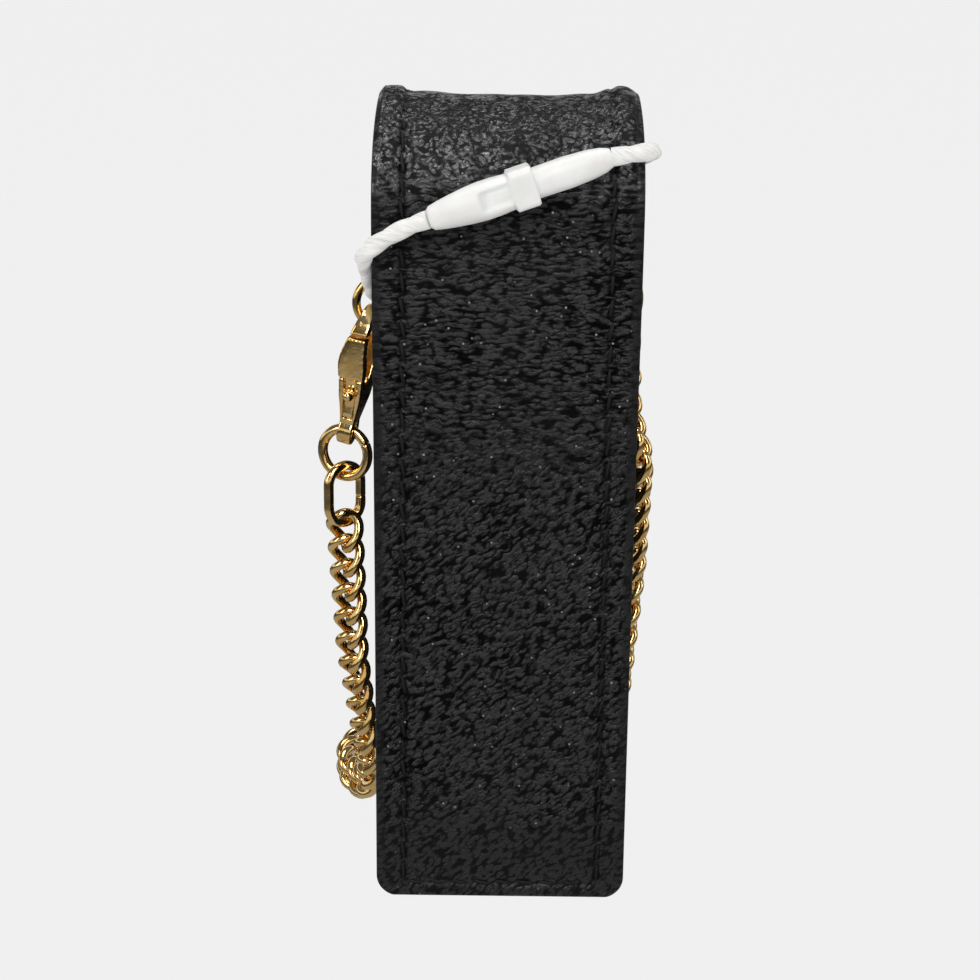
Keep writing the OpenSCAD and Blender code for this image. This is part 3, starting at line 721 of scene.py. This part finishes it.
def front_relief(x, s, side_d, end_d):
    """Slow waves, the line inside the edge band and the channels under the two rows and the lower
    row."""
    row = np.abs(np.abs(x) - (HALF_W - STITCH_IN))
    channel = -(0.2 + 0.12 * np.cos(TAU * s / STITCH_PITCH)) * bell(row, 0.42)
    between = np.abs(x) < HALF_W - STITCH_IN + 0.3
    channel = np.minimum(channel, -0.24 * bell(s - STITCH_LOW, 0.36) * between)
    slow = 0.09 * noise(x / 6, s / 5, 33) * smooth(BAND, BAND + 0.8, side_d)
    return slow - 0.05 * bell(side_d - BAND, 0.14) + channel


front = skin("front_leather", front_line, MOUTH, front_half_width, LEATHER_T, 0.0, LEATHER, EDGE,
             spread(0.6, sewn=True), front_relief, step=0.5,
             attributes={"bent": none, "grain": grain_share, "level": none})
settle(front, "case", "leather", "front_panel")
front_lining = skin("front_lining_sheet", front_line, MOUTH, lambda s: front_half_width(s) - LINING_IN,
                    SHELL_T - LEATHER_T + LAP, LEATHER_T - LAP, LINING, EDGE, spread(2.0), step=1.2,
                    edge_r=0.2)
settle(front_lining, "case", "lining", "front_lining")

# ---------------------------------------------------------------- gusset
gus_low, gus_high = size("gusset")
GUS_BACK, GUS_FRONT = gus_low[1], gus_high[1]
wall_low, wall_high = size("gusset_lining")
WALL = wall_high[0] + LEATHER_T      # outer face of the walls
FLOOR = wall_low[2] - LEATHER_T      # outer face of the gusset's floor
GUSSET_R = 4.0


def gusset_line(t, r):
    """The U of the gusset at shares t from mouth to mouth: down the left wall, round, across, round
    and up."""
    wall = MOUTH - FLOOR - r
    arc = math.pi / 2 * r
    base = 2 * (WALL - r)
    whole = 2 * wall + 2 * arc + base
    s = t * whole
    at = np.empty((len(s), 3))
    out = np.zeros((len(s), 3))
    a1 = np.clip((s - wall) / r, 0, math.pi / 2)
    a2 = np.clip((s - wall - arc - base) / r, 0, math.pi / 2)
    at[:, 0] = (-WALL + r * (1 - np.cos(a1)) + np.clip(s - wall - arc, 0, base) + r * np.sin(a2))
    at[:, 1] = 0
    at[:, 2] = (MOUTH - np.minimum(s, wall) - r * np.sin(a1) + r * (1 - np.cos(a2))
                + np.maximum(0, s - whole + wall))
    turn = a1 + a2
    out[:, 0], out[:, 2] = -np.cos(turn), -np.sin(turn)
    return at, out, s, whole


def flange_reach(at, out):
    """How far the turned-out edge runs from the U to just inside the panels' outline, found in
    small steps."""
    d = np.linspace(0, 7, 1401)[None, :]
    x = np.abs(at[:, 0:1] + out[:, 0:1] * d)
    z = at[:, 2:3] + out[:, 2:3] * d
    straight = HALF_W - CORNER_R
    over = np.maximum(x - straight, 0) ** 2 + np.maximum(CORNER_R - z, 0) ** 2
    inside = (x <= HALF_W) & (z >= 0) & ((x < straight) | (z > CORNER_R) | (over < CORNER_R ** 2))
    return d[0][np.argmin(inside, 1) - 1] - 0.1


def gusset_shell(name, depth, thick, material, flanges):
    """A section carried round the U. It runs out along one flange, turns a small round corner,
    crosses the wall with a shallow fold in its middle, and runs out along the other flange; the
    shell is its two sides and its edges."""
    wall_share = 0.42
    stops = (0, wall_share, 1 - wall_share, 1)
    t = np.unique(np.concatenate([np.linspace(a, b, 60) for a, b in zip(stops, stops[1:])]))
    at, out, s, whole = gusset_line(t, GUSSET_R)
    reach = flange_reach(at, out) if flanges else np.zeros(len(t))
    mid = (GUS_BACK + GUS_FRONT) / 2
    half = (GUS_FRONT - GUS_BACK) / 2
    u = np.linspace(-1, 1, 49)
    # the section as a line: height above the wall's outer face, and place along Y
    turn_r = 1.0
    web_y = u * (half - thick / 2 - (turn_r if flanges else 0))
    top = np.clip((MOUTH - at[:, 2]) / 10, 0, 1)
    fold = -(0.55 + 0.5 * (1 - top))[:, None] * (np.cos(math.pi / 2 * u)[None, :] ** 2)
    vein = 0.08 * noise(u[None, :] * 4 + 0 * s[:, None], s[:, None] / 3.1, 41)
    web_h = -depth - thick / 2 + fold + vein * (np.cos(math.pi / 2 * u)[None, :] ** 0.5)
    h, y = web_h, np.broadcast_to(web_y, web_h.shape)
    if flanges:
        a = np.linspace(0, math.pi / 2, 7)[1:]
        corner_h = -thick / 2 + turn_r * (1 - np.cos(a)) + 0 * s[:, None]
        corner_y = half - thick / 2 - turn_r + turn_r * np.sin(a) + 0 * s[:, None]
        run = np.linspace(0, 1, 7)[1:]
        flat_h = (-thick / 2 + turn_r) + run * (reach[:, None] - (turn_r - thick / 2))
        edge_h = np.hstack([corner_h, flat_h])
        edge_y = np.hstack([corner_y, half - thick / 2 + 0 * flat_h])
        h = np.hstack([edge_h[:, ::-1], h, edge_h])
        y = np.hstack([-edge_y[:, ::-1], y, edge_y])
    dh, dy = np.gradient(h, axis=1), np.gradient(y, axis=1)
    length = np.hypot(dh, dy)
    nh, ny = dy / length, -dh / length
    ring_h = np.hstack([h + nh * thick / 2, (h - nh * thick / 2)[:, ::-1]])
    ring_y = np.hstack([y + ny * thick / 2, (y - ny * thick / 2)[:, ::-1]])
    points = at[:, None] + ring_h[..., None] * out[:, None]
    points[..., 1] = ring_y + mid
    run = np.cumsum(length, 1)
    run_y = np.hstack([run, run[:, ::-1] + 30])
    uv = np.stack([run_y, np.broadcast_to(s[:, None], run_y.shape)], -1) * MM
    ones = np.ones(run_y.size)
    return loft(name, points, material, uv=uv.reshape(-1, 2),
                values={"grain": 0.75 * ones, "bent": 0 * ones, "level": 0 * ones})


gusset = gusset_shell("gusset_leather", 0.0, LEATHER_T, LEATHER, True)
settle(gusset, "case", "leather", "gusset")
gusset_lining = gusset_shell("gusset_lining_sheet", LEATHER_T, SHELL_T - LEATHER_T, LINING, False)
settle(gusset_lining, "case", "lining", "gusset_lining")


# ---------------------------------------------------------------- stitches
ROW_START = 3.4                      # length up a panel at which its rows start
STITCH_L, STITCH_R = 2.25, 0.24
STITCH_SINK = 0.17                   # depth of a stitch's middle below the surface


def stitches(name, centres, along, out, lean):
    """Short threads: a capsule of rings at each centre, radius times root(1 - u^2)^0.6 at share u
    of its length, turned by lean in the surface."""
    rings, sides = 7, 7
    u = np.sin(np.linspace(-1, 1, rings) * math.pi / 2 * 0.97)
    r = STITCH_R * np.sqrt(1 - u ** 2) ** 0.6
    a = TAU * np.arange(sides) / sides
    side = np.cross(along, out)
    forward = np.cos(lean)[:, None] * along + np.sin(lean)[:, None] * side
    across = np.cross(forward, out)
    dip = -0.10 * u ** 2
    points = (centres[:, None, None] + (u * STITCH_L / 2)[None, :, None, None] * forward[:, None, None]
              + r[None, :, None, None] * (np.cos(a)[None, None, :, None] * across[:, None, None]
                                          + 0.8 * np.sin(a)[None, None, :, None] * out[:, None, None])
              + dip[None, :, None, None] * out[:, None, None])
    one = ring_faces(rings, sides)
    count = len(centres)
    faces = (one[None] + (np.arange(count) * rings * sides)[:, None, None]).reshape(-1, 4)
    ends = [range(k * rings * sides + o, k * rings * sides + o + sides) for k in range(count)
            for o in (0, (rings - 1) * sides)]
    return outwards(new_piece(name, points.reshape(-1, 3), faces, THREAD, extra=ends))


rng = np.random.default_rng(5)


def row_on(line, stop, x):
    """Centres, directions, faces and leans of a row that runs up a panel at one x."""
    s = np.arange(ROW_START, stop, STITCH_PITCH)
    place, out = line(s)
    nearby, _ = line(s + 0.05)
    along = unit(nearby - place)
    centre = place - out * STITCH_SINK
    centre[:, 0] = x + rng.normal(0, 0.05, len(s))
    return centre, along, out, rng.normal(0.16 * np.sign(x), 0.05, len(s))


def base_row(y, sign):
    """The row along the lower edge of a panel."""
    x = np.arange(-HALF_W + STITCH_IN + 1.4, HALF_W - STITCH_IN - 1.2, STITCH_PITCH)
    centre = np.stack([x, 0 * x + y - sign * STITCH_SINK, STITCH_LOW + rng.normal(0, 0.05, len(x))], 1)
    along = np.tile([1.0, 0, 0], (len(x), 1))
    out = np.tile([0, float(sign), 0], (len(x), 1))
    return centre, along, out, rng.normal(0.14, 0.06, len(x))


def sewn(name, line, stop, y, sign):
    """The stitches of a panel: two rows up it and one along its lower edge."""
    rows = [row_on(line, stop, x) for x in (-HALF_W + STITCH_IN, HALF_W - STITCH_IN)]
    rows.append(base_row(y, sign))
    return stitches(name, *(np.concatenate(part) for part in zip(*rows)))


strip_thread = sewn("strip_stitches", strip_line, strip_run - 3.2, -BEND_R, -1)
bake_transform(strip_thread)
front_thread = sewn("front_stitches", front_line, MOUTH - 1.0, front_high[1], 1)
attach(front_thread, "case")


# ---------------------------------------------------------------- hardware
def unique_points(node):
    """The different points of a CAD node's mesh, in millimetres, as one array for each of its
    separate parts."""
    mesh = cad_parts[node].data
    co = np.empty(len(mesh.vertices) * 3)
    mesh.vertices.foreach_get("co", co)
    co = co.reshape(-1, 3) / MM
    key, back = np.unique(np.round(co, 3), axis=0, return_inverse=True)
    back = back.ravel()
    parent = np.arange(len(key))

    def root(k):
        while parent[k] != k:
            parent[k] = parent[parent[k]]
            k = parent[k]
        return k

    for f in mesh.polygons:
        v = [root(back[k]) for k in f.vertices]
        for k in v[1:]:
            parent[k] = v[0]
            v = [root(k) for k in v]
    roots = np.array([root(k) for k in range(len(key))])
    return [key[roots == r] for r in np.unique(roots)]


def own_axes(points):
    """Middle of a part, and its directions from the longest spread to the least, right-handed."""
    mid = points.mean(0)
    _, vectors = np.linalg.eigh(np.cov((points - mid).T))
    long, middle = vectors[:, 2], vectors[:, 1]
    return mid, long, middle, np.cross(long, middle)


LINK_RINGS, LINK_SIDES = 36, 12
WIRE_R = 0.575
LINK_W = 3.8                        # to the middle of the wire
LINK_TWIST = math.radians(50)       # of each end out of the link's flat


def link_points(length):
    """One curb link: a loop whose line is x = r cos a, y = r sin a, z = L/2 cos t with r = W/2 sin
    t and a = -twist cos t, and whose wire's section is between round and square."""
    def line(t):
        z = np.cos(t)
        r = LINK_W / 2 * np.sin(t)
        return np.stack([r * np.cos(-LINK_TWIST * z), r * np.sin(-LINK_TWIST * z), length / 2 * z], 1)

    t = TAU * np.arange(LINK_RINGS) / LINK_RINGS
    c = line(t)
    d = unit(line(t + 0.002) - line(t - 0.002))
    out = unit(c - d * (c * d).sum(1, keepdims=True))
    a = TAU * (np.arange(LINK_SIDES) + 0.5) / LINK_SIDES
    n = 2.5                         # power of the wire's section
    share = np.minimum((np.abs(np.cos(a)) ** n + np.abs(np.sin(a)) ** n) ** (-1 / n), 1.04)
    return tube(c, out, np.cross(d, out), WIRE_R * share, a).reshape(-1, 3)


link_faces = ring_faces(LINK_RINGS, LINK_SIDES, True)


def chain_piece(name, node):
    """The links of one CAD node, each laid on its own axes there."""
    points, faces = [], []
    for part in unique_points(node):
        mid, long, middle, least = own_axes(part)
        span = (part - mid) @ long
        length = span.max() - span.min() - 2 * WIRE_R
        shape = link_points(length)
        points.append(mid + shape[:, :1] * middle + shape[:, 1:2] * -least + shape[:, 2:] * long)
        faces.append(link_faces + len(faces) * len(shape))
    return outwards(new_piece(name, np.concatenate(points), np.concatenate(faces), CHAIN_GOLD))


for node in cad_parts:
    if node.startswith(("link_", "right_link_")):
        settle(chain_piece(node + "_curb", node), node, "gold", node)


def stadium(r, straight, count):
    """A closed line of two half circles of radius r joined by straights, at even steps, in its own
    plane."""
    a = np.linspace(0, math.pi, 60)
    top = np.stack([r * np.cos(a), straight / 2 + r * np.sin(a)], 1)
    line = np.vstack([top, -top, top[:1]])
    run = length_along(line)
    return points_at(line, run, np.linspace(0, run[-1], count, endpoint=False))


RING_SIDES = 20
SLOT = 0.012                        # half the slot between a ring's ends


def split_ring(name, node, opening, round_ring):
    """A ring of wire bent shut: a tube round its line with a fine slot, its two ends slightly
    rounded. The slot is at an angle of opening round the ring."""
    part = unique_points(node)[0]
    mid, long, middle, least = own_axes(part)
    spans = [((part - mid) @ v, v) for v in (long, middle, least)]
    half = [np.ptp(span) / 2 for span, _ in spans]
    wire = half[2]
    mid = mid + sum(v * (span.max() + span.min()) / 2 for span, v in spans)
    flat = stadium(half[1] - wire, 0.0 if round_ring else 2 * (half[0] - half[1]), 96)
    flat = np.roll(flat, -int(opening / TAU * len(flat)), 0)
    flat = np.vstack([flat, flat[:1]])
    run = length_along(flat)
    near = np.array([SLOT, SLOT + 0.03, SLOT + 0.1])
    even = np.linspace(0.35, run[-1] - 0.35, 92)
    flat = points_at(flat, run, np.concatenate([near, even, run[-1] - near[::-1]]))
    line = mid + flat[:, :1] * middle + flat[:, 1:] * long
    r = np.full(len(line), wire)
    r[[0, -1]] *= 0.86
    r[[1, -2]] *= 0.95
    tangent = unit(np.gradient(line, axis=0))
    third = np.broadcast_to(least, line.shape)
    a = TAU * np.arange(RING_SIDES) / RING_SIDES
    return loft(name, tube(line, np.cross(third, tangent), third, r[:, None], a), CHAIN_GOLD)


for node, opening, is_round in (("left_jump_ring", 5.2, True), ("oval_ring", 2.9, False),
                                ("right_jump_ring", 1.0, True)):
    settle(split_ring(node + "_wire", node, opening, is_round), node, "gold", node)


BULGE = 0.95
FLESH = 0.055                       # what the rounding takes off, put back


def leaf(points):
    """Points of the clasp with its outer side bulged like a leaf: x - b exp(-((t - 0.68) / 0.2)^2)
    (right - x) / (right - left), where t is the share of the height and b is BULGE. Its sides at
    each height, left and right, are curves of the fourth degree laid through the body's."""
    body = np.concatenate(unique_points("clasp_body"))
    low, high = body[:, 2].min(), body[:, 2].max()
    levels = np.linspace(low, high, 25)
    near = [np.abs(body[:, 2] - z) < 0.06 * (high - low) for z in levels]
    left, right = (np.polyval(np.polyfit(levels, [side(body[k, 0]) for k in near], 4), points[:, 2])
                   for side in (np.min, np.max))
    t = (points[:, 2] - low) / (high - low)
    moved = points.copy()
    moved[:, 0] -= BULGE * bell(t - 0.68, 0.2) * np.clip((right - points[:, 0]) / (right - left), 0, 1)
    return moved


def polished_copy(name, node, material, body, voxel=None, passes=0, slot="gold"):
    """A merged copy of a CAD node. Where voxel is given it is a part of the clasp: it is remeshed
    at that size and relaxed, which rounds its edges as tumbling does, and bulged. Otherwise it is
    shaded smooth up to 40 degrees."""
    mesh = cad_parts[node].data.copy()
    mesh.name = name
    mesh.materials.clear()
    mesh.materials.append(material)
    piece = bpy.data.objects.new(name, mesh)
    scene.collection.objects.link(piece)
    work = bmesh.new()
    work.from_mesh(mesh)
    bmesh.ops.remove_doubles(work, verts=work.verts, dist=2e-6)
    work.to_mesh(mesh)
    work.free()
    if voxel:
        remesh = piece.modifiers.new("remesh", "REMESH")
        remesh.mode = "VOXEL"
        remesh.voxel_size = voxel * MM
        relax = piece.modifiers.new("relax", "SMOOTH")
        relax.factor = 0.5
        relax.iterations = passes
        depsgraph = bpy.context.evaluated_depsgraph_get()
        made = bpy.data.meshes.new_from_object(piece.evaluated_get(depsgraph))
        piece.modifiers.clear()
        piece.data = made
        made.name = name
        made.materials.clear()
        made.materials.append(material)
        made.polygons.foreach_set("use_smooth", np.ones(len(made.polygons), bool))
        co, normal = np.empty(len(made.vertices) * 3), np.empty(len(made.vertices) * 3)
        made.vertices.foreach_get("co", co)
        made.vertices.foreach_get("normal", normal)
        co = (co / MM + FLESH * normal).reshape(-1, 3)
        made.vertices.foreach_set("co", (leaf(co) * MM).ravel())
        made.update()
    else:
        mesh.polygons.foreach_set("use_smooth", np.ones(len(mesh.polygons), bool))
        mesh.set_sharp_from_angle(angle=math.radians(40))
    settle(piece, body, slot, node)


polished_copy("clasp_hook", "clasp_body", CAST_GOLD, "clasp", 0.09, 24)
polished_copy("clasp_thumb_lever", "clasp_lever", CAST_GOLD, "clasp_lever", 0.08, 12)
polished_copy("clasp_pin", "clasp_rivet", CAST_GOLD, "clasp", 0.08, 4)
polished_copy("clasp_leaf_spring", "clasp_spring", STEEL, "clasp", slot="spring_steel")
polished_copy("left_d_ring_wire", "left_d_ring", CHAIN_GOLD, "left_d_ring")
polished_copy("right_d_ring_wire", "right_d_ring", CHAIN_GOLD, "right_d_ring")


# ---------------------------------------------------------------- ring tabs
def ring_tab(name, node):
    """A tab of leather folded round the ring's bar: a strip whose outer line runs out along one
    side, round a half circle and back."""
    low, high = size(node)
    sign = 1 if low[0] > 0 else -1
    tip = high[0] if sign > 0 else low[0]
    wall = low[0] if sign > 0 else high[0]
    mid = (low[1] + high[1]) / 2
    r = (high[1] - low[1]) / 2
    centre = tip - sign * r
    straight = abs(centre - wall) + 0.15
    length = 2 * straight + math.pi * r
    middle_z = (low[2] + high[2]) / 2

    def line(s):
        turn = np.clip((s - straight) / r, 0, math.pi)
        x = (centre - sign * (straight - np.minimum(s, straight)) + sign * r * np.sin(turn)
             - sign * np.maximum(0, s - straight - math.pi * r))
        y = mid - r * np.cos(turn)
        out = np.stack([sign * np.sin(turn), -np.cos(turn), 0 * s], -1)
        return np.stack([x, y, 0 * s + middle_z], -1), out

    half = (high[2] - low[2]) / 2
    piece = skin(name, line, length, lambda s: half + 0 * s, 0.7, 0.0, LEATHER, EDGE,
                 np.linspace(-1, 1, 17), lambda x, s, a, b: 0.03 * noise(x / 1.2, s / 1.1, 51),
                 step=0.25, edge_r=0.25, width_dir=(0, 0, 1), ends=0.6,
                 attributes={"bent": none, "grain": lambda x, s, a, b: 0.6 + 0 * x, "level": none})
    settle(piece, "case", "leather", node)


ring_tab("left_tab_leather", "left_tab")
ring_tab("right_tab_leather", "right_tab")

# ---------------------------------------------------------------- snap
cap_low, cap_high = size("snap_cap")
SNAP_Z = (cap_high[2] + cap_low[2]) / 2
HOLE_R = 2.15                       # of the socket


def turned(name, node, body, sides, profile):
    """A part of the snap turned on its axis, with a profile made from the radius and the height of
    its node."""
    low, high = size(node)
    points = profile((high[0] - low[0]) / 2, high[1] - low[1])
    base = np.array([0, low[1], SNAP_Z])
    settle(revolve(name, points, base, [0, 1, 0], CAST_GOLD, sides), body, "gold", node)


def cap_profile(r, h):
    """A rolled rim and a dome, (r sin a, 0.45 + (h - 0.45) cos a)."""
    dome = [(r * math.sin(a), 0.45 + (h - 0.45) * math.cos(a)) for a in np.linspace(1.45, 0.0, 16)]
    return [(r - 0.5, 0.0), (r - 0.12, 0.03), (r, 0.2), (r - 0.03, 0.36)] + dome[:-1] + [(0.02, h)]


def socket_profile(r, h):
    return [(0.02, h - 0.65), (HOLE_R - 0.15, h - 0.65), (HOLE_R, h - 0.55), (HOLE_R, 0.25),
            (HOLE_R + 0.2, 0.02), (HOLE_R + 0.55, 0.0), (HOLE_R + 0.8, 0.18), (r - 0.5, 0.3),
            (r - 0.1, 0.5), (r, 0.75), (r - 0.02, h - 0.02), (r - 0.3, h), (0.02, h)]


def stud_profile(r, h):
    return [(0.02, 0.0), (r - 0.3, 0.0), (r, 0.1), (r - 0.1, 0.27), (2.3, 0.3), (1.7, 0.36), (1.62, 0.7),
            (1.8, 0.95), (1.76, h - 0.12), (1.5, h), (0.02, h)]


def plate_profile(r, h):
    return [(0.02, 0.3), (r - 0.1, 0.3), (r, 0.15), (r - 0.15, 0.02), (1.2, 0.0), (0.9, 0.1),
            (0.02, 0.12)]


turned("snap_cap_dome", "snap_cap", "flap", 72, cap_profile)
turned("snap_socket_ring", "snap_socket", "flap", 64, socket_profile)
turned("snap_stud_post", "snap_stud", "case", 64, stud_profile)
turned("snap_rivet_plate", "snap_backplate", "case", 64, plate_profile)

# ---------------------------------------------------------------- stage and light
floor_mesh = bpy.data.meshes.new("floor")
REACH = 4.0                          # metres from the middle to each edge
floor_mesh.from_pydata([(x * REACH, y * REACH, 0) for x, y in ((-1, -1), (1, -1), (1, 1), (-1, 1))], [],
                       [(0, 1, 2, 3)])
floor = bpy.data.objects.new("floor", floor_mesh)
scene.collection.objects.link(floor)
PAPER_GLOW = 0.865
paper, tree, shader = surface("pale studio paper", Base_Color=linear("#121212"), Roughness=0.95,
                              Emission_Color=linear("#ffffff"), Emission_Strength=PAPER_GLOW,
                              Specular_IOR_Level=0.0)
floor_mesh.materials.append(paper)
floor.visible_glossy = False         # so that the black leather doesn't turn grey

world = bpy.data.worlds.new("studio")
scene.world = world
world.use_nodes = True
tree = world.node_tree
ray = add(tree, "ShaderNodeTexCoord").outputs["Generated"]
parts = add(tree, "ShaderNodeSeparateXYZ", Vector=ray)
# 0 straight down, 0.5 level, 1 straight up: a pale belt level with the case, darker above and below it
glow = ramp(tree, maths(tree, "ADD", maths(tree, "MULTIPLY", parts.outputs["Z"], 0.5), 0.5),
            [(0.26, 0.4), (0.34, 0.1), (0.47, 0.06), (0.497, PAPER_GLOW), (0.6, PAPER_GLOW), (0.64, 0.12),
             (1.0, 0.16)])
tree.links.new(glow, tree.nodes["Background"].inputs["Color"])
tree.nodes["Background"].inputs["Strength"].default_value = 1.0


def softbox(name, at, aim, width, height, watts):
    lamp = bpy.data.lights.new(name, "AREA")
    lamp.shape = "RECTANGLE"
    lamp.size, lamp.size_y, lamp.energy = width, height, watts
    box = bpy.data.objects.new(name, lamp)
    scene.collection.objects.link(box)
    box.location = at
    box.rotation_euler = (Vector(aim) - Vector(at)).to_track_quat("-Z", "Y").to_euler()


softbox("key", (0.0, -0.46, 0.4), (0, 0, 0.07), 0.2, 0.34, 1.6)
softbox("fill_left", (-0.5, -0.32, 0.34), (0, 0, 0.05), 0.2, 0.4, 1.0)
softbox("fill_right", (0.55, -0.1, 0.35), (0, 0, 0.05), 0.1, 0.4, 0.4)
softbox("top", (0, 0.12, 0.7), (0, 0, 0.05), 0.4, 0.34, 2.3)
